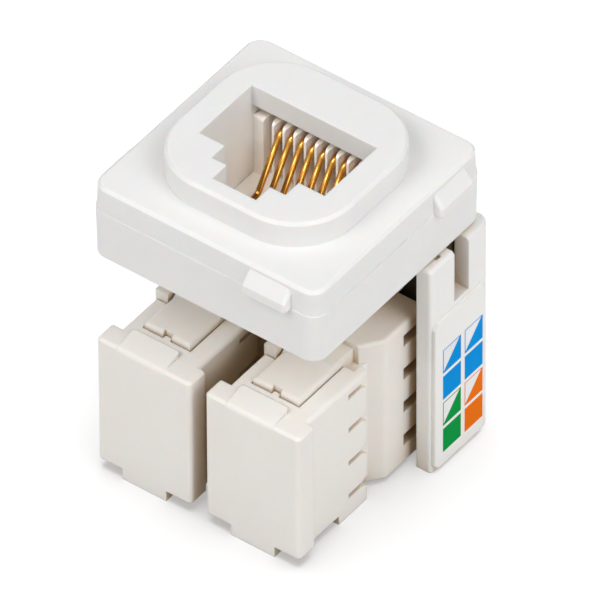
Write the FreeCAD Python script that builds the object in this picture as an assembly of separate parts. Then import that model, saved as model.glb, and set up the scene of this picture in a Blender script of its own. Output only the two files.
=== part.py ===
import FreeCAD, Part
import os
from math import cos, pi, radians, sin, tan

# Eight position modular jack insert for a wall plate. It stands on its rear end with the plug
# opening at the top. X runs across the jack, Y from the wire caps to the rear shell, Z up out of
# the plug opening. Sizes are in millimetres, measured from the jack's own axis.

# Front bezel
bezel_width = 21.75
bezel_depth = 21.4
bezel_height = 7.0
bezel_corner = 1.4
bezel_wall = 1.5
bezel_plate = 2.0
bezel_edge_chamfer = 0.25
bezel_draft = 0.08
bezel_above_table = 21.4
parting_below_top = 2.4
parting_step = 0.07

# Raised boss round the plug opening
boss_width = 16.5
boss_depth = 16.1
boss_height = 2.35
boss_corner = 5.3
boss_wall = 1.2
boss_plate = 2.0
boss_edge_chamfer = 0.25

# Plug opening, stepped towards the plug's latch
opening_width = 11.9
opening_setback = 7.16
opening_depth = 6.68
shoulder_width = 7.02
shoulder_depth = 1.68
latch_width = 4.12
latch_depth = 1.79
socket_depth = 9.05
sleeve_wall = 0.8

# Snap tabs on the bezel's four sides
tab_start = 4.25
tab_length = 4.1
tab_proud = 0.93
tab_land = 0.85
tab_below_top = 0.45
tab_round = 0.3

# Spring contacts
contact_count = 8
contact_pitch = 1.016
contact_diameter = 0.46
contact_bend = 0.5
contact_riser_setback = 1.7
contact_crown_setback = 0.75
contact_crown_above_floor = 4.77
contact_heel_reach = 2.7
contact_heel_above_floor = 1.3
contact_toe_length = 1.55
contact_toe_angle = 26.0
contact_tail_above_floor = 1.5
contact_tail_stagger = 1.4
tail_proud = 0.4

# Contact carrier: the comb behind the contacts and the floor under them
comb_setback = 0.12
comb_depth = 2.74
comb_above_floor = 5.9
comb_round = 0.3
comb_slot_clearance = 0.04
comb_back_wall = 0.6
floor_thickness = 1.4
slide_clearance = 0.1

# Circuit board
board_thickness = 1.6
board_side_clearance = 0.24
board_neck_clearance = 1.175
board_below_plate = 0.25
board_above_table = 1.5
board_shoulder_drop = 0.6
board_corner = 0.4
board_hole_clearance = 0.1

# Wire caps: a front flange and a U-shaped body that slips over the tower
cap_front = 11.5
cap_gap = 1.4
flange_inset = 1.175
flange_thickness = 1.9
flange_top = 13.6
flange_bottom = 1.05
flange_corner = 0.4
flange_edge_chamfer = 0.22
flange_tab_width = 4.2
flange_tab_depth = 1.0
lip_width = 4.5
lip_offset = 0.3
lip_height = 0.42
lip_front_drop = 0.1
lip_depth = 2.2
lip_root = 1.2
lip_round = 0.45
lip_corner = 0.3
body_inset = 0.77
body_offset = 0.2
body_wall = 0.7
body_roof = 0.45
body_round = 0.4
body_bottom = 0.9
long_wall_end = 2.1
long_arm_end = 2.8
foot_length = 3.6
wire_slot_height = 0.5
wire_slot_length = 2.3
wire_slot_mouth = 1.2
wire_slot_mouth_length = 0.6
finger_length = 4.0
finger_height = 0.5
finger_gap = 1.3

# Terminal towers
tower_wire_slot = 0.7
tower_wire_mouth = 1.1
tower_front = 8.0
tower_shoulder = 1.5
tower_board_gap = 1.2
tower_top = 14.9
tower_bottom = 0.5
tower_outer_step = 0.07
tower_chamfer_width = 1.3
tower_chamfer_length = 1.75
tower_block_bottom = 1.15
tower_round = 0.3
tower_corner = 1.0
flank_front = 5.2
deck_top = 14.5
pad_width = 4.4
pad_front = 8.4
pad_proud = 0.5
pad_end = 4.6
pad_ramp = 0.6
pad_round = 0.3
pad_notch_width = 0.85
pad_notch_depth = 0.36
deck_groove = 0.15
back_notch_height = 1.15
back_notch_depth = 2.2
back_notch_length = 2.65
back_notch_rise = 0.6
bridge_width = 12.6
bridge_front = 3.2
web_thickness = 1.6

# Terminals: slotted blades that cut through the wire's insulation
terminal_rows = 4
terminal_pitch = 3.47
terminal_first = 2.0
blade_thickness = 0.4
blade_height = 1.5
blade_tip = 7.3
blade_base = 1.2
blade_slot_width = 0.34
blade_slot_length = 3.6
blade_mouth_width = 0.8
blade_mouth_length = 0.6
blade_tip_bevel = 0.25
blade_tail_height = 0.7
blade_clearance = 0.05
slot_bottom = 3.2

# Rear shell with the two label walls
shell_side_overhang = 0.545
shell_front = 3.06
shell_back_overhang = 0.25
shell_wall = 1.38
shell_corner = 1.2
shell_below_bezel = 0.35
shell_edge_chamfer = 0.22
shell_slot_start = 3.02
shell_slot_width = 1.85
shell_slot_depth = 5.2
shell_upright_round = 0.3
nick_place = 1.45
nick_width = 0.6
nick_length = 0.8
nick_depth = 0.25
rail_proud = 0.6
rail_width = 0.9
post_width = 1.6
post_spacing = 14.4
post_hook_height = 2.6

# Label cards
label_thickness = 0.3
label_front_margin = 0.15
label_back_margin = 0.28
label_bottom = 0.35
label_height = 15.05
label_chamfer = 0.45
label_corner = 0.6

# How far a cut runs past the face it opens, or a joined block into its neighbour, and how near to
# a face an edge counts as lying on it
overrun = 1.0
touch = 1e-4

# Heights and places worked out from the sizes above
bezel_top = bezel_above_table + bezel_height
parting_height = bezel_top - parting_below_top
boss_top = bezel_top + boss_height
floor_height = boss_top - socket_depth
opening_back = bezel_depth / 2 - opening_setback
opening_front = opening_back - opening_depth
shoulder_front = opening_front - shoulder_depth
latch_front = shoulder_front - latch_depth
comb_front = opening_back + comb_setback
board_front = comb_front + comb_depth
board_back = board_front + board_thickness
tower_back = board_front - tower_board_gap
board_top = bezel_top - bezel_plate - board_below_plate
carrier_bottom = floor_height - floor_thickness
shell_width = bezel_width + 2 * shell_side_overhang
shell_back = bezel_depth / 2 + shell_back_overhang
board_width = shell_width - 2 * (shell_wall + board_side_clearance)
board_neck_width = bezel_width - 2 * (bezel_wall + board_neck_clearance)
flange_width = (bezel_width - cap_gap) / 2 - flange_inset
cap_spacing = flange_width + cap_gap
body_width = flange_width - 2 * body_inset
roof_underside = flange_top - body_roof
block_top = roof_underside - slide_clearance
block_width = body_width - 2 * (body_wall + slide_clearance)
pad_top = flange_top + pad_proud
tab_reach = bezel_depth / 2 - parting_step - bezel_draft + tab_proud
depth_centre = (max(shell_back, tab_reach) - max(cap_front, tab_reach)) / 2


def vec(x, y, z):
    return FreeCAD.Vector(x, y, z)


def face_of(points):
    return Part.Face(Part.makePolygon([vec(*p) for p in points + points[:1]]))


def plan_prism(points, low, high):
    """A plan outline in X and Y, raised from one height to another."""
    return face_of([(x, y, low) for x, y in points]).extrude(vec(0, 0, high - low))


def side_prism(points, left, right):
    """A side profile in Y and Z, drawn out along X."""
    return face_of([(left, y, z) for y, z in points]).extrude(vec(right - left, 0, 0))


def block(left, right, front, back, low, high):
    return Part.makeBox(right - left, back - front, high - low, vec(left, front, low))


def rounded_block(width, depth, radius, low, high, low_inset=0.0, high_inset=0.0):
    """A block with round upright corners about the jack's axis, drafted by an inset at either end."""
    def straight_sides(inset, height):
        x, y = width / 2, depth / 2
        near, far = x - radius, y - radius
        quarter = [(x - inset, far), (near, y - inset)]
        half = quarter + [(-a, b) for a, b in reversed(quarter)]
        outline = half + [(-a, -b) for a, b in half]
        return Part.makePolygon([vec(a, b, height) for a, b in outline + outline[:1]])

    core = Part.makeLoft([straight_sides(low_inset, low), straight_sides(high_inset, high)], True, True)
    corners = []
    for x in (radius - width / 2, width / 2 - radius):
        for y in (radius - depth / 2, depth / 2 - radius):
            if low_inset == high_inset:
                corner = Part.makeCylinder(radius - low_inset, high - low, vec(x, y, low))
            else:
                corner = Part.makeCone(radius - low_inset, radius - high_inset, high - low, vec(x, y, low))
            corners.append(corner)
    return fuse_all(core, corners)


def edges_at(shape, test):
    return [edge for edge in shape.Edges if test(edge.BoundBox)]


def top_edges(shape, height):
    return edges_at(shape, lambda box: box.ZMin > height - touch)


def cut_all(shape, tools):
    return shape.cut(Part.makeCompound(tools))


def fuse_all(first, others):
    return first.fuse(others).removeSplitter()


def mirrored(shape):
    return shape.mirror(vec(0, 0, 0), vec(1, 0, 0))


# Plug opening: the outline that the bezel, its sleeve and the carrier share
def opening_outline(wall, back):
    half = [
        (opening_width / 2 + wall, back),
        (opening_width / 2 + wall, opening_front - wall),
        (shoulder_width / 2 + wall, opening_front - wall),
        (shoulder_width / 2 + wall, shoulder_front - wall),
        (latch_width / 2 + wall, shoulder_front - wall),
        (latch_width / 2 + wall, latch_front - wall),
    ]
    return half + [(-x, y) for x, y in reversed(half)]


# Front bezel: drafted skirt and cover that meet at the parting line, with a boss on top
def snap_tab():
    face = bezel_width / 2 - parting_step - bezel_draft
    profile = [
        (face - bezel_wall / 2, parting_height),
        (face + tab_proud, parting_height),
        (face + tab_proud, parting_height + tab_land),
        (face, bezel_top - tab_below_top),
        (face - bezel_wall / 2, bezel_top - tab_below_top),
    ]
    points = [(x, tab_start, z) for x, z in profile]
    tab = face_of(points).extrude(vec(0, tab_length, 0))
    outer = edges_at(tab, lambda box: box.XMin > face + tab_proud - touch and box.ZLength > tab_land / 2)
    ends = edges_at(tab, lambda box: box.XLength > tab_proud / 2 and box.ZLength > tab_land / 2)
    return tab.makeFillet(tab_round, outer + ends)


def front_bezel():
    skirt = rounded_block(bezel_width, bezel_depth, bezel_corner, bezel_above_table, parting_height,
                          low_inset=bezel_draft)
    cover = rounded_block(bezel_width - 2 * parting_step, bezel_depth - 2 * parting_step, bezel_corner,
                          parting_height, bezel_top, high_inset=bezel_draft)
    cover = cover.makeChamfer(bezel_edge_chamfer, top_edges(cover, bezel_top))
    boss = rounded_block(boss_width, boss_depth, boss_corner, bezel_top - bezel_plate / 2, boss_top)
    boss = boss.makeChamfer(boss_edge_chamfer, top_edges(boss, boss_top))
    tabs = []
    for turn in range(4):
        tab = snap_tab()
        tab.translate(vec((bezel_depth - bezel_width) / 2 * (turn % 2), 0, 0))
        tab.rotate(vec(0, 0, 0), vec(0, 0, 1), 90 * turn)
        tabs.append(tab)
    shell = fuse_all(skirt, [cover, boss] + tabs)
    pocket = rounded_block(bezel_width - 2 * bezel_wall, bezel_depth - 2 * bezel_wall, bezel_corner / 2,
                           bezel_above_table - overrun, bezel_top - bezel_plate)
    boss_pocket = rounded_block(boss_width - 2 * boss_wall, boss_depth - 2 * boss_wall,
                                boss_corner - boss_wall, bezel_above_table, boss_top - boss_plate)
    sleeve_back = comb_front + comb_depth - slide_clearance
    sleeve = plan_prism(opening_outline(sleeve_wall, sleeve_back), floor_height, boss_top - boss_plate / 2)
    comb_room = block(-opening_width / 2, opening_width / 2, opening_front, board_front + slide_clearance,
                      floor_height - overrun, boss_top - boss_plate)
    opening = plan_prism(opening_outline(0, opening_back), floor_height - overrun, boss_top + overrun)
    hollow = shell.cut(pocket).cut(boss_pocket)
    return fuse_all(hollow, [sleeve]).cut(comb_room).cut(opening).removeSplitter()


# Contact carrier: floor of the socket and a comb whose rounded ribs keep the contacts apart
def contact_places():
    return [(i - (contact_count - 1) / 2) * contact_pitch for i in range(contact_count)]


def tail_height(index):
    return floor_height + contact_tail_above_floor + contact_tail_stagger * (index % 2)


def contact_carrier():
    base = plan_prism(opening_outline(sleeve_wall, board_front), carrier_bottom, floor_height)
    top = floor_height + comb_above_floor
    knee = comb_round * (1 - sin(pi / 4))
    low_front = vec(0, comb_front, carrier_bottom)
    round_start = vec(0, comb_front, top - comb_round)
    round_middle = vec(0, comb_front + knee, top - knee)
    round_end = vec(0, comb_front + comb_round, top)
    high_back = vec(0, board_front, top)
    low_back = vec(0, board_front, carrier_bottom)
    edges = [
        Part.LineSegment(low_front, round_start).toShape(),
        Part.Arc(round_start, round_middle, round_end).toShape(),
        Part.LineSegment(round_end, high_back).toShape(),
        Part.LineSegment(high_back, low_back).toShape(),
        Part.LineSegment(low_back, low_front).toShape(),
    ]
    comb_width = opening_width - 2 * slide_clearance
    comb = Part.Face(Part.Wire(edges)).extrude(vec(comb_width, 0, 0))
    comb.translate(vec(-comb_width / 2, 0, 0))
    half_slot = contact_diameter / 2 + comb_slot_clearance
    slot_back = board_front - comb_back_wall
    cuts = []
    for index in range(-1, contact_count + 1):
        x = (index - (contact_count - 1) / 2) * contact_pitch
        cuts.append(block(x - half_slot, x + half_slot, comb_front - overrun, slot_back,
                          floor_height, top + overrun))
    for index, x in enumerate(contact_places()):
        low = tail_height(index) - half_slot
        cuts.append(block(x - half_slot, x + half_slot, slot_back - overrun, board_front + overrun,
                          low, top + overrun))
    return cut_all(fuse_all(base, [comb]), cuts)


# Spring contacts: wire from the board, up behind the comb, over it and down into the socket
def wire_section(radius, place):
    """The wire's cross-section at its tail, drawn with eight flats."""
    corners = [pi / 8 + pi / 4 * turn for turn in range(8)]
    return face_of([(place.x + radius * cos(a), place.y, place.z + radius * sin(a)) for a in corners])


def bent_path(points, radius):
    """Straight runs through the points, joined by tangent arcs."""
    edges = []
    start = points[0]
    for before, corner, after in zip(points, points[1:], points[2:]):
        come = (before - corner).normalize()
        leave = (after - corner).normalize()
        half = come.getAngle(leave) / 2
        trim = radius / tan(half)
        first = corner + come * trim
        last = corner + leave * trim
        middle = (come + leave).normalize()
        centre = corner + middle * (radius / sin(half))
        edges.append(Part.LineSegment(start, first).toShape())
        edges.append(Part.Arc(first, centre - middle * radius, last).toShape())
        start = last
    edges.append(Part.LineSegment(start, points[-1]).toShape())
    return Part.Wire(edges)


def contact(index, x):
    riser = opening_back + contact_riser_setback
    crown = floor_height + contact_crown_above_floor
    heel_y = opening_back - contact_heel_reach
    heel_z = floor_height + contact_heel_above_floor
    toe = radians(contact_toe_angle)
    tail = tail_height(index)
    start = vec(x, board_back + tail_proud, tail)
    path = bent_path([
        start,
        vec(x, riser, tail),
        vec(x, riser, crown),
        vec(x, opening_back + contact_crown_setback, crown),
        vec(x, heel_y, heel_z),
        vec(x, heel_y - contact_toe_length * cos(toe), heel_z - contact_toe_length * sin(toe)),
    ], contact_bend)
    return path.makePipe(wire_section(contact_diameter / 2, start))


# Circuit board: joins the contacts to the terminals, with a neck that reaches into the bezel
def terminal_heights():
    return [terminal_first + terminal_pitch * row for row in range(terminal_rows)]


def tower_centres():
    return [side * cap_spacing / 2 + body_offset for side in (-1, 1)]


def circuit_board():
    neck_start = bezel_above_table - board_shoulder_drop
    wide, narrow = board_width / 2, board_neck_width / 2
    outline = [(wide, board_above_table), (wide, neck_start), (narrow, neck_start), (narrow, board_top)]
    outline = outline + [(-x, z) for x, z in reversed(outline)]
    board = face_of([(x, board_front, z) for x, z in outline]).extrude(vec(0, board_thickness, 0))
    corners = edges_at(board, lambda box: box.YLength > board_thickness / 2)
    board = board.makeFillet(board_corner, corners)
    holes = []
    for index, x in enumerate(contact_places()):
        place = vec(x, board_front, tail_height(index))
        hole = wire_section(contact_diameter / 2 + board_hole_clearance, place)
        holes.append(hole.extrude(vec(0, board_thickness, 0)))
    half_x = blade_thickness / 2 + board_hole_clearance
    half_z = blade_tail_height / 2 + board_hole_clearance
    for x in tower_centres():
        for z in terminal_heights():
            holes.append(block(x - half_x, x + half_x, board_front, board_back, z - half_z, z + half_z))
    return cut_all(board, holes)


# Terminals: a blade with a slot and a tail that goes through the board
def terminal(x, z):
    top = blade_height / 2
    mouth = blade_mouth_width / 2
    slot = blade_slot_width / 2
    tail = blade_tail_height / 2
    upper = [
        (-blade_tip + blade_mouth_length + blade_slot_length, slot),
        (-blade_tip + blade_mouth_length, slot),
        (-blade_tip, mouth),
        (-blade_tip, top - blade_tip_bevel),
        (-blade_tip + blade_tip_bevel, top),
        (-blade_base, top),
        (-blade_base, tail),
        (board_back + tail_proud, tail),
    ]
    outline = upper + [(y, -offset) for y, offset in reversed(upper)]
    outline = [(y, z + offset) for y, offset in outline]
    return side_prism(outline, x - blade_thickness / 2, x + blade_thickness / 2)


# Terminal block: two towers for the wires, joined by a web and by a bridge under the socket
def tower(x):
    outer = x + body_width / 2 + tower_outer_step
    inner = x - body_width / 2
    lug = x - body_offset
    rear = plan_prism([
        (inner, -tower_shoulder),
        (outer - tower_chamfer_width, -tower_shoulder),
        (outer, tower_chamfer_length - tower_shoulder),
        (outer, tower_back),
        (inner, tower_back),
    ], tower_bottom, tower_top)
    chamfer_end = tower_chamfer_length - tower_shoulder
    corner = edges_at(rear, lambda box: box.XMin > outer - touch and abs(box.YMin - chamfer_end) < touch
                      and box.ZLength > tower_top / 2)
    rear = rear.makeFillet(tower_corner, corner)
    rim = edges_at(rear, lambda box: box.ZMin > tower_top - touch and box.XMin > inner + touch)
    rear = rear.makeFillet(tower_round, rim)
    front = block(x - block_width / 2, x + block_width / 2, -tower_front, -tower_shoulder + overrun,
                  tower_block_bottom, block_top)
    flank = block(inner, x - block_width / 2 + slide_clearance, -flank_front, -tower_shoulder + overrun,
                  tower_bottom, deck_top)
    deck = side_prism([
        (-pad_front, block_top - slide_clearance),
        (-pad_front, pad_top),
        (-pad_end, pad_top),
        (pad_ramp - pad_end, deck_top),
        (0, deck_top),
        (0, block_top - slide_clearance),
    ], lug - pad_width / 2, lug + pad_width / 2)
    rim = edges_at(deck, lambda box: box.ZMin > pad_top - touch and box.YMax < -tower_shoulder - overrun)
    deck = deck.makeFillet(pad_round, [edge for edge in rim if edge.BoundBox.YMin < -pad_end])
    shoulder = block(inner, lug - pad_width / 2 - deck_groove, -flank_front, 0,
                     block_top - slide_clearance, deck_top)
    solid = fuse_all(rear, [front, flank, deck, shoulder])
    notch = block(lug - pad_notch_width / 2, lug + pad_notch_width / 2, -pad_front - overrun,
                  pad_notch_depth - pad_front, block_top - overrun, pad_top + overrun)
    cuts = [notch]
    for z in terminal_heights():
        cuts.extend(terminal_room(x, z, inner))
        low = z + back_notch_rise - back_notch_height / 2 + wire_slot_height / 4
        cuts.append(block(outer - back_notch_depth, outer + overrun, tower_back - back_notch_length,
                          tower_back + overrun, low, low + back_notch_height))
    return cut_all(solid, cuts)


def terminal_room(x, z, inner):
    """Wire slot across the tower, blade pocket along it and the passage for the blade's tail."""
    half = tower_wire_slot / 2
    mouth = tower_wire_mouth / 2
    wire = side_prism([
        (-tower_front - overrun, z - mouth),
        (-tower_front, z - mouth),
        (mouth - half - tower_front, z - half),
        (-slot_bottom, z - half),
        (-slot_bottom, z + half),
        (mouth - half - tower_front, z + half),
        (-tower_front, z + mouth),
        (-tower_front - overrun, z + mouth),
    ], inner - overrun, x + block_width / 2 + overrun)
    half_x = blade_thickness / 2 + blade_clearance
    half_z = blade_height / 2 + blade_clearance
    tail_z = blade_tail_height / 2 + blade_clearance
    pocket = block(x - half_x, x + half_x, -tower_front - overrun, -blade_base, z - half_z, z + half_z)
    passage = block(x - half_x, x + half_x, -blade_base - overrun, board_front + overrun,
                    z - tail_z, z + tail_z)
    return [wire, pocket, passage]


def terminal_block():
    left, right = tower_centres()
    gap_start = left + body_width / 2 + tower_outer_step
    gap_end = right - body_width / 2
    web = block(gap_start - overrun, gap_end + overrun, tower_back - web_thickness, tower_back,
                tower_bottom, tower_top)
    bridge = block(-bridge_width / 2, bridge_width / 2, -bridge_front, board_front,
                   deck_top - tower_round, carrier_bottom)
    return fuse_all(tower(left), [tower(right), web, bridge])


# Wire caps: pressed on to the towers, with fingers that push each wire into its terminal
def wire_cap(x):
    """The two caps are alike: x is the middle of the flange."""
    middle = x + body_offset
    outer = middle + body_width / 2
    inner = middle - body_width / 2
    flange_back = flange_thickness - cap_front
    flange = block(x - flange_width / 2, x + flange_width / 2, -cap_front, flange_back,
                   flange_bottom, flange_top)
    upright = edges_at(flange, lambda box: box.ZLength > flange_top / 2 and box.YMax < -cap_front + touch)
    flange = flange.makeFillet(flange_corner, upright)
    rim = edges_at(flange, lambda box: box.ZMin > flange_top - touch and box.YMax < flange_back - touch)
    flange = flange.makeChamfer(flange_edge_chamfer, rim)
    foot_tab = block(x - flange_tab_width / 2, x + flange_tab_width / 2, -cap_front,
                     flange_tab_depth - cap_front, 0, flange_bottom + overrun)
    lip_back = lip_depth - cap_front
    lip_left = x - lip_offset - lip_width / 2
    lip_right = lip_left + lip_width
    lip = side_prism([
        (-cap_front, flange_top - lip_root),
        (-cap_front, flange_top - lip_front_drop),
        (lip_back, flange_top + lip_height),
        (lip_back, flange_top - lip_root),
    ], lip_left, lip_right)
    nose = edges_at(lip, lambda box: box.YMax < -cap_front + touch and box.XLength > lip_width / 2
                    and box.ZMin > flange_top - lip_root + touch)
    lip = lip.makeFillet(lip_round, nose)
    rear_corners = edges_at(lip, lambda box: box.YMin > lip_back - touch and box.ZLength > lip_height)
    lip = lip.makeFillet(lip_corner, rear_corners)
    flange = flange.cut(block(lip_left, lip_right, -cap_front - overrun, flange_back + overrun,
                              flange_top - lip_root, flange_top + overrun))
    body = block(inner, outer, flange_back - overrun, -long_wall_end, body_bottom, flange_top)
    top_sides = edges_at(body, lambda box: box.ZMin > flange_top - touch and box.YLength > flange_thickness)
    body = body.makeFillet(body_round, top_sides)
    past_end = overrun - long_wall_end
    body = body.cut(block(inner + body_wall, outer - body_wall, flange_back, past_end,
                          -overrun, roof_underside))
    foot = block(outer - body_wall, outer, -long_wall_end - foot_length, -long_wall_end,
                 0, body_bottom + overrun)
    short_end = -flank_front - slide_clearance
    fingers = []
    for z in terminal_heights():
        for left, right in finger_spans(middle):
            fingers.append(block(left, right, flange_back - overrun, flange_back + finger_length,
                                 z - finger_height / 2, z + finger_height / 2))
    solid = fuse_all(flange, [foot_tab, lip, body, foot] + fingers)
    window = pad_width / 2 + slide_clearance
    cuts = [
        block(x - window, x + window, -pad_front - slide_clearance, past_end,
              roof_underside - overrun, flange_top + overrun),
        block(inner - overrun, x, short_end, past_end, -overrun, flange_top + overrun),
        block(x, outer - body_wall, -long_arm_end, past_end, roof_underside - overrun, flange_top + overrun),
    ]
    cuts.extend(wire_slot(z, outer) for z in terminal_heights())
    nib_half = pad_notch_width / 2 - slide_clearance
    nib = block(x - nib_half, x + nib_half, -pad_front - slide_clearance - overrun,
                pad_notch_depth - pad_front - slide_clearance, roof_underside, flange_top)
    return fuse_all(cut_all(solid, cuts), [nib])


def finger_spans(middle):
    reach = block_width / 2 - slide_clearance
    return [(middle - reach, middle - finger_gap / 2), (middle + finger_gap / 2, middle + reach)]


def wire_slot(z, outer):
    """Slot in the cap's long side wall, with a wide mouth at the wall's end."""
    half = wire_slot_height / 2
    mouth = wire_slot_mouth / 2
    return side_prism([
        (-long_wall_end - wire_slot_length, z - half),
        (-long_wall_end - wire_slot_mouth_length, z - half),
        (-long_wall_end, z - mouth),
        (-long_wall_end + overrun, z - mouth),
        (-long_wall_end + overrun, z + mouth),
        (-long_wall_end, z + mouth),
        (-long_wall_end - wire_slot_mouth_length, z + half),
        (-long_wall_end - wire_slot_length, z + half),
    ], outer - body_wall - overrun, outer + overrun)


# Rear shell: a U in plan that closes the back and carries a label on each side
def rear_shell():
    half = shell_width / 2
    knee = shell_corner * (1 - cos(pi / 4))
    top = bezel_above_table - shell_below_bezel
    inside = half - shell_wall
    inside_back = shell_back - shell_wall
    right = [
        Part.LineSegment(vec(half, shell_front, 0), vec(half, shell_back - shell_corner, 0)).toShape(),
        Part.Arc(vec(half, shell_back - shell_corner, 0), vec(half - knee, shell_back - knee, 0),
                 vec(half - shell_corner, shell_back, 0)).toShape(),
    ]
    left = [mirrored(edge) for edge in right]
    back = Part.LineSegment(vec(half - shell_corner, shell_back, 0), vec(shell_corner - half, shell_back, 0))
    front = Part.LineSegment(vec(-half, shell_front, 0), vec(half, shell_front, 0))
    outline = Part.Wire(Part.__sortEdges__(right + left + [back.toShape(), front.toShape()]))
    outside = Part.Face(outline).extrude(vec(0, 0, top))
    uprights = edges_at(outside, lambda box: box.YMax < shell_front + touch and box.ZLength > top / 2)
    outside = outside.makeFillet(shell_upright_round, uprights)
    outside = outside.makeChamfer(shell_edge_chamfer, top_edges(outside, top))
    shell = outside.cut(block(-inside, inside, shell_front - overrun, inside_back, -overrun, top + overrun))
    slot_start = shell_front + shell_slot_start
    slots = block(-half - overrun, half + overrun, slot_start, slot_start + shell_slot_width,
                  top - shell_slot_depth, top + overrun)
    nick_start = shell_front + nick_place
    nicks = block(-inside - nick_length, inside + nick_length, nick_start, nick_start + nick_width,
                  top - nick_depth, top + overrun)
    shell = shell.cut(slots).cut(nicks)
    extras = []
    rail_top = top - shell_slot_depth
    for front_face in (board_front - slide_clearance - rail_width, board_back + slide_clearance):
        rail = block(inside - rail_proud, inside + shell_wall / 2, front_face, front_face + rail_width,
                     board_above_table, rail_top)
        extras.extend([rail, mirrored(rail)])
    post_top = bezel_above_table + post_hook_height
    post_back = bezel_depth / 2 - bezel_wall - slide_clearance
    for x in (-post_spacing / 2, post_spacing / 2):
        extras.append(side_prism([
            (board_back + slide_clearance, board_above_table),
            (board_back + slide_clearance, post_top),
            (post_back, post_top),
            (post_back, top),
            (inside_back + shell_wall / 2, top - shell_wall),
            (inside_back + shell_wall / 2, board_above_table),
        ], x - post_width / 2, x + post_width / 2))
    return fuse_all(shell, extras)


# Label cards: thin plates on the shell's side walls, above the table and below the slots
def label_card():
    face = shell_width / 2
    front = shell_front + label_front_margin
    back = shell_back - shell_corner - label_back_margin
    low = label_bottom
    high = label_bottom + label_height
    card = side_prism([
        (front, low + label_chamfer),
        (front + label_chamfer, low),
        (back, low),
        (back, high),
        (front + label_chamfer, high),
        (front, high - label_chamfer),
    ], face, face + label_thickness)
    lower = edges_at(card, lambda box: box.XLength > label_thickness / 2 and box.YMin > back - touch
                     and box.ZMax < high / 2)
    return card.makeFillet(label_corner, lower)


nodes = {
    "front_bezel": front_bezel(),
    "contact_carrier": contact_carrier(),
    "circuit_board": circuit_board(),
    "terminal_block": terminal_block(),
    "left_wire_cap": wire_cap(-cap_spacing / 2),
    "right_wire_cap": wire_cap(cap_spacing / 2),
    "rear_shell": rear_shell(),
    "left_label": mirrored(label_card()),
    "right_label": label_card(),
}
for index, place in enumerate(contact_places()):
    nodes["contact_" + str(index + 1)] = contact(index, place)
terminal_places = [(x, z) for x in tower_centres() for z in terminal_heights()]
for index, (x, z) in enumerate(terminal_places):
    nodes["terminal_" + str(index + 1)] = terminal(x, z)

os.makedirs("parts", exist_ok=True)
for name, shape in nodes.items():
    shape.translate(vec(0, -depth_centre, 0))
    shape.exportStep("parts/" + name + ".step")
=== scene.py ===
from math import cos, pi, radians, sin, tan

import bmesh
import bpy
from mathutils import Matrix, Vector


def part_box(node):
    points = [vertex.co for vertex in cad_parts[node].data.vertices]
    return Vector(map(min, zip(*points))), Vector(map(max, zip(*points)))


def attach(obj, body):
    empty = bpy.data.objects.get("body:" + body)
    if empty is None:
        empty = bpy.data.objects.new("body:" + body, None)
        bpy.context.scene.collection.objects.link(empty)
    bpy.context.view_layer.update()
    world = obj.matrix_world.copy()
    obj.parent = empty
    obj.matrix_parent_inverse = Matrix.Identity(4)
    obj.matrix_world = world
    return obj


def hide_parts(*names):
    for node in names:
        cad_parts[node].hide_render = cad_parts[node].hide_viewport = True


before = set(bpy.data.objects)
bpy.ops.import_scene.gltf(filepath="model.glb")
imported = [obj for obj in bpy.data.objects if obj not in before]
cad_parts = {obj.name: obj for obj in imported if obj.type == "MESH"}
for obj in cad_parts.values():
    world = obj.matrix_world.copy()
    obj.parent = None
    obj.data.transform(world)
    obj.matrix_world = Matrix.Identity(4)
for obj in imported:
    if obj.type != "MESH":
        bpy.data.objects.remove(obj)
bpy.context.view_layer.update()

# Circuit board: dark brown laminate, cut to a T whose neck reaches up into the front. It stands in
# rails of the rear shell and carries the contacts and the terminals.

mm = 0.001
noise_range = (0.3, 0.7)
cloud_waves = 160.0
grain_waves = 5200.0
grain_depth = 0.02
# How far occlusion looks, and over which range it paints shade into the moulded skin.
painted_shade_reach = 7.0
painted_shade_range = (0.05, 0.5)
shading_samples = 8


def shader_group(name, inputs, outputs):
    """An empty shader node group with these sockets, its tree and its two end nodes."""
    tree = bpy.data.node_groups.new(name, "ShaderNodeTree")
    for socket, kind, value in inputs:
        made = tree.interface.new_socket(socket, in_out="INPUT", socket_type=kind)
        made.default_value = value
    for socket, kind in outputs:
        tree.interface.new_socket(socket, in_out="OUTPUT", socket_type=kind)
    return tree, tree.nodes.new("NodeGroupInput"), tree.nodes.new("NodeGroupOutput")


def noise(tree, scale, detail=2.0):
    """Noise in the object's own metres: the scale is in waves per metre."""
    place = tree.nodes.new("ShaderNodeTexCoord")
    made = tree.nodes.new("ShaderNodeTexNoise")
    made.inputs["Scale"].default_value = scale
    made.inputs["Detail"].default_value = detail
    tree.links.new(place.outputs["Object"], made.inputs["Vector"])
    return made


def spread(tree, source, low, high):
    """Spreads a noise's useful middle range from a low to a high value: each a number or a socket."""
    made = tree.nodes.new("ShaderNodeMapRange")
    made.inputs["From Min"].default_value = noise_range[0]
    made.inputs["From Max"].default_value = noise_range[1]
    tree.links.new(source, made.inputs["Value"])
    for socket, value in (("To Min", low), ("To Max", high)):
        if isinstance(value, float):
            made.inputs[socket].default_value = value
        else:
            tree.links.new(value, made.inputs[socket])
    return made.outputs["Result"]


def mix_colours(tree, factor, first, second):
    """The first colour where the factor is zero and the second one where it is one."""
    made = tree.nodes.new("ShaderNodeMix")
    made.data_type = "RGBA"
    tree.links.new(factor, made.inputs[0])
    tree.links.new(first, made.inputs[6])
    tree.links.new(second, made.inputs[7])
    return made.outputs[2]


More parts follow.
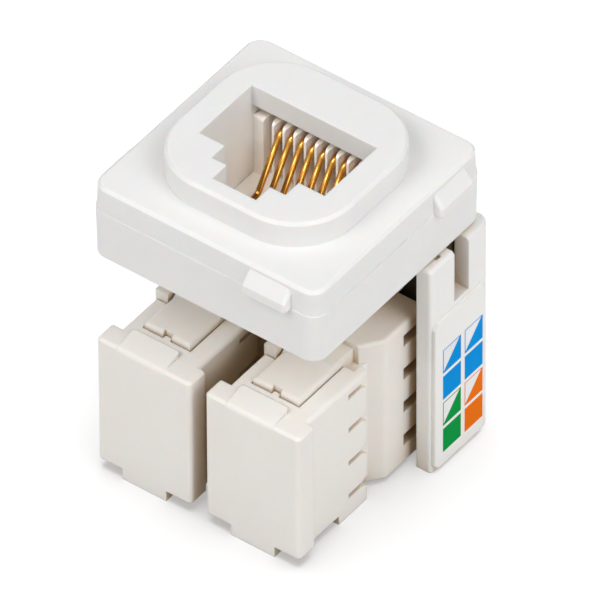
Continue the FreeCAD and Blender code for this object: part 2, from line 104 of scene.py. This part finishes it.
def moulded_skin():
    """Skin of a moulded or pressed part: faint clouds of colour, a fine grain and softened edges.
    It also holds painted shade: hollows, creases and gaps between parts, found by occlusion, are painted
    in a darker colour of their own."""
    tree, start, end = shader_group(
        "moulded skin",
        [
            ("Colour", "NodeSocketColor", (0.8, 0.8, 0.8, 1)),
            ("Cloud", "NodeSocketColor", (0.75, 0.75, 0.75, 1)),
            ("Painted shade", "NodeSocketColor", (0.7, 0.7, 0.7, 1)),
            ("Roughest", "NodeSocketFloat", 0.5),
            ("Smoothest", "NodeSocketFloat", 0.4),
            ("Grain", "NodeSocketFloat", 0.1),
            ("Edge", "NodeSocketFloat", 0.0001),
        ],
        [("Colour", "NodeSocketColor"), ("Roughness", "NodeSocketFloat"), ("Normal", "NodeSocketVector")],
    )
    clouds = noise(tree, cloud_waves, detail=3.0)
    cloud = spread(tree, clouds.outputs["Fac"], 0.0, 1.0)
    colour = mix_colours(tree, cloud, start.outputs["Colour"], start.outputs["Cloud"])
    # Painted shade: the colour turns towards the painted-shade colour where occlusion finds a hollow or
    # gap.
    painted_shade = tree.nodes.new("ShaderNodeAmbientOcclusion")
    painted_shade.samples = shading_samples
    painted_shade.inputs["Distance"].default_value = painted_shade_reach * mm
    openness = tree.nodes.new("ShaderNodeMapRange")
    openness.inputs["From Min"].default_value = painted_shade_range[0]
    openness.inputs["From Max"].default_value = painted_shade_range[1]
    tree.links.new(painted_shade.outputs["AO"], openness.inputs["Value"])
    colour = mix_colours(tree, openness.outputs["Result"], start.outputs["Painted shade"], colour)
    tree.links.new(colour, end.inputs["Colour"])
    grain = noise(tree, grain_waves)
    rough = spread(tree, grain.outputs["Fac"], start.outputs["Smoothest"], start.outputs["Roughest"])
    tree.links.new(rough, end.inputs["Roughness"])
    edge = tree.nodes.new("ShaderNodeBevel")
    edge.samples = shading_samples
    tree.links.new(start.outputs["Edge"], edge.inputs["Radius"])
    bump = tree.nodes.new("ShaderNodeBump")
    bump.inputs["Distance"].default_value = grain_depth * mm
    tree.links.new(start.outputs["Grain"], bump.inputs["Strength"])
    tree.links.new(grain.outputs["Fac"], bump.inputs["Height"])
    tree.links.new(edge.outputs["Normal"], bump.inputs["Normal"])
    tree.links.new(bump.outputs["Normal"], end.inputs["Normal"])
    return tree


skin = moulded_skin()


def skinned_material(name, colour, cloud, roughness, grain, edge, painted_shade=None):
    """A solid material in the moulded skin: the roughness pair is its smoothest and roughest. Its hollows
    and gaps get painted shade in the given colour, else in the cloud colour.
    """
    material = bpy.data.materials.new(name)
    material.use_nodes = True
    tree = material.node_tree
    shader = tree.nodes["Principled BSDF"]
    group = tree.nodes.new("ShaderNodeGroup")
    group.node_tree = skin
    group.inputs["Colour"].default_value = (*colour, 1)
    group.inputs["Cloud"].default_value = (*cloud, 1)
    group.inputs["Painted shade"].default_value = (*(painted_shade or cloud), 1)
    group.inputs["Smoothest"].default_value = roughness[0]
    group.inputs["Roughest"].default_value = roughness[1]
    group.inputs["Grain"].default_value = grain
    group.inputs["Edge"].default_value = edge
    tree.links.new(group.outputs["Colour"], shader.inputs["Base Color"])
    tree.links.new(group.outputs["Roughness"], shader.inputs["Roughness"])
    tree.links.new(group.outputs["Normal"], shader.inputs["Normal"])
    return material


def dress(node, material):
    """Gives a solid of the frame its finish."""
    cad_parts[node].data.materials.clear()
    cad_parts[node].data.materials.append(material)


laminate = skinned_material(
    "laminate", (0.060, 0.045, 0.025), (0.075, 0.056, 0.030),
    roughness=(0.30, 0.42), grain=0.25, edge=0.05 * mm,
)
dress("circuit_board", laminate)

# Contact carrier: one warm white moulding, the socket's floor and a comb whose ribs keep the
# contacts apart. It slips into the sleeve of the front from below. The ribs' front edges are eased.

# Its hollows and the corners of the socket get a warm painted shade.
carrier_plastic = skinned_material(
    "carrier plastic", (0.92, 0.88, 0.83), (0.90, 0.855, 0.80),
    roughness=(0.42, 0.52), grain=0.12, edge=0.10 * mm, painted_shade=(0.97, 0.87, 0.76),
)
carrier_shader = carrier_plastic.node_tree.nodes["Principled BSDF"]
carrier_shader.inputs["Subsurface Weight"].default_value = 0.15
carrier_shader.inputs["Subsurface Scale"].default_value = 0.3 * mm

comb_height = 5.9
contact_pitch = 1.016
slot_half_width = 0.27
lead_in_width = 0.13
lead_in_depth = 0.55
weld_reach = 0.001
tolerance = 0.01


def eased_comb():
    """The carrier's own shape, with lead-ins at the front of each slot for the wires."""
    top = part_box("contact_carrier")[1].z
    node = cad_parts["contact_carrier"]
    mesh = bmesh.new()
    mesh.from_mesh(node.data)
    mesh.transform(node.matrix_world)
    bmesh.ops.remove_doubles(mesh, verts=mesh.verts, dist=weld_reach * mm)
    floor_height = top - (comb_height + tolerance) * mm
    front = min(vert.co.y for vert in mesh.verts if vert.co.z > top - comb_height / 2 * mm)
    back = front + lead_in_depth * mm
    everything = [*mesh.verts, *mesh.edges, *mesh.faces]
    bmesh.ops.bisect_plane(mesh, geom=everything, plane_co=(0, back, 0), plane_no=(0, 1, 0))
    for vert in mesh.verts:
        slot = (round(vert.co.x / mm / contact_pitch - 0.5) + 0.5) * contact_pitch * mm
        aside = vert.co.x - slot
        on_edge = abs(abs(aside) - slot_half_width * mm) < tolerance * mm
        if on_edge and vert.co.z > floor_height and front - tolerance * mm < vert.co.y < back:
            share = (back - vert.co.y) / (back - front)
            vert.co.x += lead_in_width * mm * share * (1 if aside > 0 else -1)
    data = bpy.data.meshes.new("contact_comb")
    mesh.to_mesh(data)
    mesh.free()
    piece = bpy.data.objects.new("contact_comb", data)
    bpy.context.scene.collection.objects.link(piece)
    return piece


comb = eased_comb()
comb.data.materials.append(carrier_plastic)
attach(comb, "jack")
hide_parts("contact_carrier")

# Spring contacts: gold-plated phosphor bronze wire, bent up behind the comb, over its top and down
# into the socket. Each one's tail is pushed through the circuit board.

wire_diameter = 0.52
wire_bend = 0.65
wire_sides = 20
wire_end_length = 0.4
wire_end_width = 0.6
solid_wire_sides = 8
bend_steps = 10
tail_run = 3.16
crown_run = 1.05
slope_run = 3.35
slope_drop = 3.47
toe_length = 1.55
toe_angle = radians(26)
tail_drops = (3.27, 1.87)


def bent_line(corners, radius):
    """Points along straight runs with round bends, in the plane of the wire."""
    line = [corners[0]]
    for before, corner, after in zip(corners, corners[1:], corners[2:]):
        come = (before - corner).normalized()
        leave = (after - corner).normalized()
        half = come.angle(leave) / 2
        middle = (come + leave).normalized()
        centre = corner + middle * radius / sin(half)
        first = corner + come * radius / tan(half) - centre
        last = corner + leave * radius / tan(half) - centre
        for step in range(bend_steps + 1):
            line.append(centre + first.slerp(last, step / bend_steps))
    return line + [corners[-1]]


def wire_mesh(name, x, line, radius):
    """A round wire along a line of Y and Z, whose last bit tapers at both ends."""
    mesh = bmesh.new()
    rings = []
    runs = [(line[1] - line[0]).normalized()]
    for before, after in zip(line, line[2:]):
        runs.append((after - before).normalized())
    runs.append((line[-1] - line[-2]).normalized())
    taper = radius * wire_end_length
    places = [(line[0], runs[0], wire_end_width), (line[0] + runs[0] * taper, runs[0], 1.0)]
    places += [(point, run, 1.0) for point, run in zip(line[1:-1], runs[1:-1])]
    places += [(line[-1] - runs[-1] * taper, runs[-1], 1.0), (line[-1], runs[-1], wire_end_width)]
    for point, run, share in places:
        ring = []
        for side in range(wire_sides):
            turn = 2 * pi * side / wire_sides
            lift = radius * share * sin(turn)
            ring.append(mesh.verts.new((
                x + radius * share * cos(turn), point.x - run.y * lift, point.y + run.x * lift
            )))
        rings.append(ring)
    for ring, after in zip(rings, rings[1:]):
        for side in range(wire_sides):
            other = (side + 1) % wire_sides
            face = mesh.faces.new((ring[side], ring[other], after[other], after[side]))
            face.smooth = True
    mesh.faces.new(rings[0])
    mesh.faces.new(rings[-1])
    bmesh.ops.recalc_face_normals(mesh, faces=mesh.faces)
    data = bpy.data.meshes.new(name)
    mesh.to_mesh(data)
    mesh.free()
    piece = bpy.data.objects.new(name, data)
    bpy.context.scene.collection.objects.link(piece)
    return piece


streak_waves = (22000, 700, 700)
streak_depth = 0.01
streak_strength = 0.06


def drawn_metal():
    """Surface of drawn or rolled metal: fine streaks along the strip and clouds in the plating."""
    tree, start, end = shader_group(
        "drawn metal",
        [
            ("Colour", "NodeSocketColor", (0.8, 0.6, 0.2, 1)),
            ("Cloud", "NodeSocketColor", (0.7, 0.5, 0.2, 1)),
            ("Smoothest", "NodeSocketFloat", 0.2),
            ("Roughest", "NodeSocketFloat", 0.3),
        ],
        [("Colour", "NodeSocketColor"), ("Roughness", "NodeSocketFloat"), ("Normal", "NodeSocketVector")],
    )
    place = tree.nodes.new("ShaderNodeTexCoord")
    stretch = tree.nodes.new("ShaderNodeMapping")
    stretch.inputs["Scale"].default_value = streak_waves
    streaks = tree.nodes.new("ShaderNodeTexNoise")
    streaks.inputs["Scale"].default_value = 1.0
    tree.links.new(place.outputs["Object"], stretch.inputs["Vector"])
    tree.links.new(stretch.outputs["Vector"], streaks.inputs["Vector"])
    streak = spread(tree, streaks.outputs["Fac"], 0.0, 1.0)
    colour = mix_colours(tree, streak, start.outputs["Colour"], start.outputs["Cloud"])
    tree.links.new(colour, end.inputs["Colour"])
    rough = spread(tree, streaks.outputs["Fac"], start.outputs["Smoothest"], start.outputs["Roughest"])
    tree.links.new(rough, end.inputs["Roughness"])
    bump = tree.nodes.new("ShaderNodeBump")
    bump.inputs["Strength"].default_value = streak_strength
    bump.inputs["Distance"].default_value = streak_depth * mm
    tree.links.new(streaks.outputs["Fac"], bump.inputs["Height"])
    tree.links.new(bump.outputs["Normal"], end.inputs["Normal"])
    return tree


drawn = drawn_metal()


def metal_material(name, colour, cloud, roughness):
    """A plated metal in the drawn surface: the roughness pair is its smoothest and roughest."""
    material = bpy.data.materials.new(name)
    material.use_nodes = True
    tree = material.node_tree
    shader = tree.nodes["Principled BSDF"]
    shader.inputs["Metallic"].default_value = 1.0
    group = tree.nodes.new("ShaderNodeGroup")
    group.node_tree = drawn
    group.inputs["Colour"].default_value = (*colour, 1)
    group.inputs["Cloud"].default_value = (*cloud, 1)
    group.inputs["Smoothest"].default_value = roughness[0]
    group.inputs["Roughest"].default_value = roughness[1]
    tree.links.new(group.outputs["Colour"], shader.inputs["Base Color"])
    tree.links.new(group.outputs["Roughness"], shader.inputs["Roughness"])
    tree.links.new(group.outputs["Normal"], shader.inputs["Normal"])
    return material


gold = metal_material("gold plating", (0.66, 0.315, 0.03), (0.61, 0.285, 0.025), roughness=(0.23, 0.29))
gold_shader = gold.node_tree.nodes["Principled BSDF"]
gold_shader.inputs["Coat Weight"].default_value = 1.0
gold_shader.inputs["Coat Roughness"].default_value = 0.2
contacts = [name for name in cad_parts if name.startswith("contact_") and name[-1].isdigit()]
wires = []
for index, node in enumerate(sorted(contacts)):
    low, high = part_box(node)
    flat = wire_diameter / 2 * cos(pi / solid_wire_sides) * mm
    tail = high.y / mm
    crown = (high.z - flat) / mm
    tail_height = crown - tail_drops[index % len(tail_drops)]
    riser = tail - tail_run
    bend = riser - crown_run
    heel = Vector((bend - slope_run, crown - slope_drop))
    toe = heel - toe_length * Vector((cos(toe_angle), sin(toe_angle)))
    corners = [
        Vector((tail, tail_height)), Vector((riser, tail_height)), Vector((riser, crown)),
        Vector((bend, crown)), heel, toe,
    ]
    line = [point * mm for point in bent_line(corners, wire_bend)]
    middle = (low.x + high.x) / 2
    wire = wire_mesh("spring_wire_" + str(index + 1), middle, line, wire_diameter / 2 * mm)
    wire.data.materials.append(gold)
    wires.append(wire)
    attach(wire, "jack")
    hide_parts(node)

# Terminals: tin-plated bronze blades stamped with a slot that cuts through a wire's insulation.
# They stand in the towers, four in each, and their tails go through the circuit board.

tin = metal_material("tin plating", (0.70, 0.68, 0.65), (0.62, 0.60, 0.57), roughness=(0.28, 0.40))
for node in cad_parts:
    if node.startswith("terminal_") and node[-1].isdigit():
        dress(node, tin)

# Terminal block: one warm white moulding with two towers for the wires and a bridge that carries
# the contact carrier. The wire caps slide on to its towers from the front.


def body_plastic(name, colour, cloud):
    """Warm white plastic that light soaks into a little; its narrow gaps look brown mostly from painted
    brown shade.
    """
    material = skinned_material(
        name, colour, cloud,
        # The third colour is the painted brown shade for gaps and hollows.
        roughness=(0.40, 0.52), grain=0.12, edge=0.16 * mm, painted_shade=(0.62, 0.44, 0.23),
    )
    shader = material.node_tree.nodes["Principled BSDF"]
    shader.inputs["Subsurface Weight"].default_value = 0.5
    shader.inputs["Subsurface Radius"].default_value = (1.0, 0.6, 0.4)
    shader.inputs["Subsurface Scale"].default_value = 0.25 * mm
    shader.inputs["Specular IOR Level"].default_value = 0.3
    return material


tower_plastic = body_plastic("tower plastic", (0.915, 0.86, 0.795), (0.895, 0.84, 0.77))
dress("terminal_block", tower_plastic)

# Front: cool white satin moulding with the raised boss, the stepped plug opening and four snap tabs.
# It clips over the top of the rear shell and carries the whole insert in a wall plate.

# The inside of the opening and other hollows get a warm painted shade.
front_plastic = skinned_material(
    "front plastic", (0.875, 0.855, 0.83), (0.86, 0.84, 0.815),
    roughness=(0.42, 0.52), grain=0.06, edge=0.12 * mm, painted_shade=(0.98, 0.89, 0.80),
)
front_shader = front_plastic.node_tree.nodes["Principled BSDF"]
front_shader.inputs["Subsurface Weight"].default_value = 0.7
front_shader.inputs["Subsurface Radius"].default_value = (1.0, 0.65, 0.45)
front_shader.inputs["Subsurface Scale"].default_value = 0.5 * mm
front_shader.inputs["Specular IOR Level"].default_value = 0.35
dress("front_bezel", front_plastic)

# Rear shell: warm white U-shaped cover, slotted at the top of each side wall. Its hooks snap into
# the front, and its rails hold the circuit board.

shell_plastic = body_plastic("shell plastic", (0.945, 0.915, 0.88), (0.925, 0.895, 0.855))
dress("rear_shell", shell_plastic)

# Labels: plastic-faced card with the wiring colours printed on it, glued to the side walls. A cell
# that is half white stands for a striped wire, a full one for a plain wire.

card = skinned_material(
    "label card", (0.945, 0.915, 0.87), (0.925, 0.895, 0.85),
    roughness=(0.45, 0.55), grain=0.05, edge=0.10 * mm,
)
for node in ("left_label", "right_label"):
    dress(node, card)

cell_width = 2.3
cell_height = 2.42
first_column = 1.01
column_pitch = 2.8
rows_below_top = 3.1
row_pitch = 2.76
ink_thickness = 0.012
ink_margin = 0.07
stripe_corner = 0.21
ink_shade = 0.9
ink_colours = {
    "blue": (0.0, 0.31, 0.80),
    "green": (0.0, 0.33, 0.06),
    "orange": (0.97, 0.19, 0.004),
    "brown": (0.16, 0.065, 0.025),
    "white": (0.96, 0.95, 0.93),
}
label_codes = {
    "right_label": (("blue", "green"), ("blue", "orange")),
    "left_label": (("orange", "brown"), ("green", "brown")),
}
inks = {}
for colour, paint in ink_colours.items():
    deeper = tuple(ink_shade * part for part in paint)
    inks[colour] = skinned_material(
        colour + " ink", paint, deeper, roughness=(0.55, 0.65), grain=0.05, edge=0.01 * mm
    )
    inks[colour].node_tree.nodes["Principled BSDF"].inputs["Specular IOR Level"].default_value = 0.03


def add_ink(mesh, points, base, height, ink):
    """A thin flat field of ink on a label: the points are in Y and Z, the base and height in X."""
    lower = [mesh.verts.new((base, y, z)) for y, z in points]
    upper = [mesh.verts.new((base + height, y, z)) for y, z in points]
    faces = [mesh.faces.new(lower), mesh.faces.new(upper)]
    for index in range(len(points)):
        other = (index + 1) % len(points)
        faces.append(mesh.faces.new((lower[index], lower[other], upper[other], upper[index])))
    for face in faces:
        face.material_index = ink


def label_print(node, code):
    """All the print on one label: the code lists its columns from the front to the back."""
    low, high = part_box(node)
    outward = 1 if high.x > 0 else -1
    surface = high.x if outward > 0 else low.x
    height = outward * ink_thickness * mm
    margin = ink_margin * mm
    corner = stripe_corner * mm
    slots = list(ink_colours)
    mesh = bmesh.new()
    for column, pairs in enumerate(code):
        near = low.y + (first_column + column_pitch * column) * mm
        far = near + cell_width * mm
        left, right = (near, far) if outward > 0 else (far, near)
        for row in range(2 * len(pairs)):
            top = high.z - (rows_below_top + row_pitch * row) * mm
            bottom = top - cell_height * mm
            cell = [(left, bottom), (right, bottom), (right, top), (left, top)]
            add_ink(mesh, cell, surface, height, slots.index(pairs[row // 2]))
            if row % 2 == 0:
                stripe = [
                    (left + outward * margin, bottom + corner), (right - outward * corner, top - margin),
                    (left + outward * margin, top - margin),
                ]
                add_ink(mesh, stripe, surface + height, height, slots.index("white"))
    bmesh.ops.recalc_face_normals(mesh, faces=mesh.faces)
    data = bpy.data.meshes.new(node + "_print")
    mesh.to_mesh(data)
    mesh.free()
    for colour in slots:
        data.materials.append(inks[colour])
    piece = bpy.data.objects.new(node + "_print", data)
    bpy.context.scene.collection.objects.link(piece)
    return piece


for node, code in label_codes.items():
    field = label_print(node, code)
    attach(field, "jack")

# Wire caps: warm white mouldings that slip over the towers. Fingers inside press each wire into its
# terminal, and a lip on top gives a fingernail something to pull on.

cap_plastic = body_plastic("cap plastic", (0.915, 0.868, 0.812), (0.895, 0.848, 0.787))
for node in ("left_wire_cap", "right_wire_cap"):
    dress(node, cap_plastic)

# Floor and light: a white table under three soft boxes, in a room that is bright on every side.
# The comb, the contacts and the floor have a lamp of their own. The camera sees the floor as white,
# with the shadow of the part on it.

floor_size = 1.2
floor_mesh = bpy.data.meshes.new("floor")
half = floor_size / 2
floor_mesh.from_pydata(
    [(-half, -half, 0), (half, -half, 0), (half, half, 0), (-half, half, 0)], [], [(0, 1, 2, 3)]
)
floor = bpy.data.objects.new("floor", floor_mesh)
bpy.context.scene.collection.objects.link(floor)


def seen_directly(tree):
    """One for what the camera sees, also by reflection or through something clear, and else zero."""
    rays = tree.nodes.new("ShaderNodeLightPath")
    total = rays.outputs["Is Camera Ray"]
    for name in ("Is Glossy Ray", "Is Transmission Ray"):
        either = tree.nodes.new("ShaderNodeMath")
        either.operation = "MAXIMUM"
        tree.links.new(total, either.inputs[0])
        tree.links.new(rays.outputs[name], either.inputs[1])
        total = either.outputs[0]
    return total


floor_lift = 0.385
floor_paint = bpy.data.materials.new("white floor")
floor_paint.use_nodes = True
tree = floor_paint.node_tree
paint = tree.nodes["Principled BSDF"]
paint.inputs["Base Color"].default_value = (0.52, 0.51, 0.50, 1)
paint.inputs["Roughness"].default_value = 0.9
paint.inputs["Specular IOR Level"].default_value = 0.0
paint.inputs["Emission Color"].default_value = (1, 1, 1, 1)
lift = tree.nodes.new("ShaderNodeMath")
lift.operation = "MULTIPLY"
lift.inputs[1].default_value = floor_lift
tree.links.new(seen_directly(tree), lift.inputs[0])
tree.links.new(lift.outputs[0], paint.inputs["Emission Strength"])
floor.data.materials.append(floor_paint)

light_colour = (0.955, 0.975, 1.0)
horizon_glow = 0.33
zenith_glow = 0.42
room = bpy.data.worlds.new("bright room")
bpy.context.scene.world = room
room.use_nodes = True
tree = room.node_tree
sky = tree.nodes["Background"]
ways = tree.nodes.new("ShaderNodeTexCoord")
height = tree.nodes.new("ShaderNodeSeparateXYZ")
tree.links.new(ways.outputs["Generated"], height.inputs[0])
glow = tree.nodes.new("ShaderNodeMapRange")
glow.inputs["To Min"].default_value = horizon_glow
glow.inputs["To Max"].default_value = zenith_glow
tree.links.new(height.outputs["Z"], glow.inputs["Value"])
level = tree.nodes.new("ShaderNodeMapRange")
level.inputs["To Max"].default_value = 1.0
tree.links.new(seen_directly(tree), level.inputs["Value"])
tree.links.new(glow.outputs["Result"], level.inputs["To Min"])
tree.links.new(level.outputs["Result"], sky.inputs["Strength"])
tint = tree.nodes.new("ShaderNodeMix")
tint.data_type = "RGBA"
tint.inputs[6].default_value = (*light_colour, 1)
tint.inputs[7].default_value = (1, 1, 1, 1)
tree.links.new(seen_directly(tree), tint.inputs[0])
tree.links.new(tint.outputs[2], sky.inputs["Color"])

front_low, front_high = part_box("front_bezel")
aim = (Vector(front_low) + Vector(front_high)) / 2
aim.z = front_low.z
lamp_distance = 0.8


def soft_box(name, link, things, azimuth, elevation, size, power):
    """A round soft box aimed at the part, with some things shut out of its light or alone in it.
    The azimuth goes from the front towards the right."""
    lamp = bpy.data.lights.new(name, "AREA")
    lamp.shape = "DISK"
    lamp.size = size
    lamp.energy = power
    lamp.color = light_colour
    made = bpy.data.objects.new(name, lamp)
    turn, rise = radians(azimuth), radians(elevation)
    made.location = lamp_distance * Vector((sin(turn) * cos(rise), -cos(turn) * cos(rise), sin(rise)))
    made.rotation_euler = (aim - made.location).to_track_quat("-Z", "Y").to_euler()
    bpy.context.scene.collection.objects.link(made)
    receivers = bpy.data.collections.new(name + " receivers")
    for thing in things:
        receivers.objects.link(thing)
    for member in receivers.collection_objects:
        member.light_linking.link_state = link
    made.light_linking.receiver_collection = receivers


soft_box("left soft box", "EXCLUDE", [floor, *wires], azimuth=-20, elevation=50, size=0.5, power=2.75)
soft_box("right soft box", "EXCLUDE", [floor], azimuth=82, elevation=35, size=0.5, power=1.85)
soft_box("high soft box", "EXCLUDE", [floor], azimuth=92, elevation=60, size=0.5, power=1.2)
soft_box("comb lamp", "INCLUDE", [comb], azimuth=-10, elevation=64, size=0.3, power=2.4)
soft_box("contact lamp", "INCLUDE", wires, azimuth=-10, elevation=66, size=0.3, power=2.8)
soft_box("floor lamp", "INCLUDE", [floor], azimuth=0, elevation=90, size=0.7, power=8.4)

# Camera: far back with a long lens, as the picture was taken, looking down on the front right.
# It starts from the middle of the front's underside and is shifted to centre the part.

view_azimuth = radians(37.008)
view_elevation = radians(43.06)
view_roll = radians(-0.299)
view_distance = 1486.38
view_right = 0.993
view_up = -5.213
lens_length = 1167.6

level_right = Vector((cos(view_azimuth), sin(view_azimuth), 0))
back = Vector((
    sin(view_azimuth) * cos(view_elevation), -cos(view_azimuth) * cos(view_elevation), sin(view_elevation)
))
level_up = back.cross(level_right)
right = level_right * cos(view_roll) + level_up * sin(view_roll)
up = level_up * cos(view_roll) - level_right * sin(view_roll)
lens = bpy.data.cameras.new("camera")
lens.lens = lens_length
camera = bpy.data.objects.new("camera", lens)
turn = Matrix((right, up, back)).transposed().to_4x4()
place = aim + (right * view_right + up * view_up + back * view_distance) * mm
camera.matrix_world = Matrix.Translation(place) @ turn
bpy.context.scene.collection.objects.link(camera)
bpy.context.scene.camera = camera
bpy.context.scene.view_settings.view_transform = "Standard"
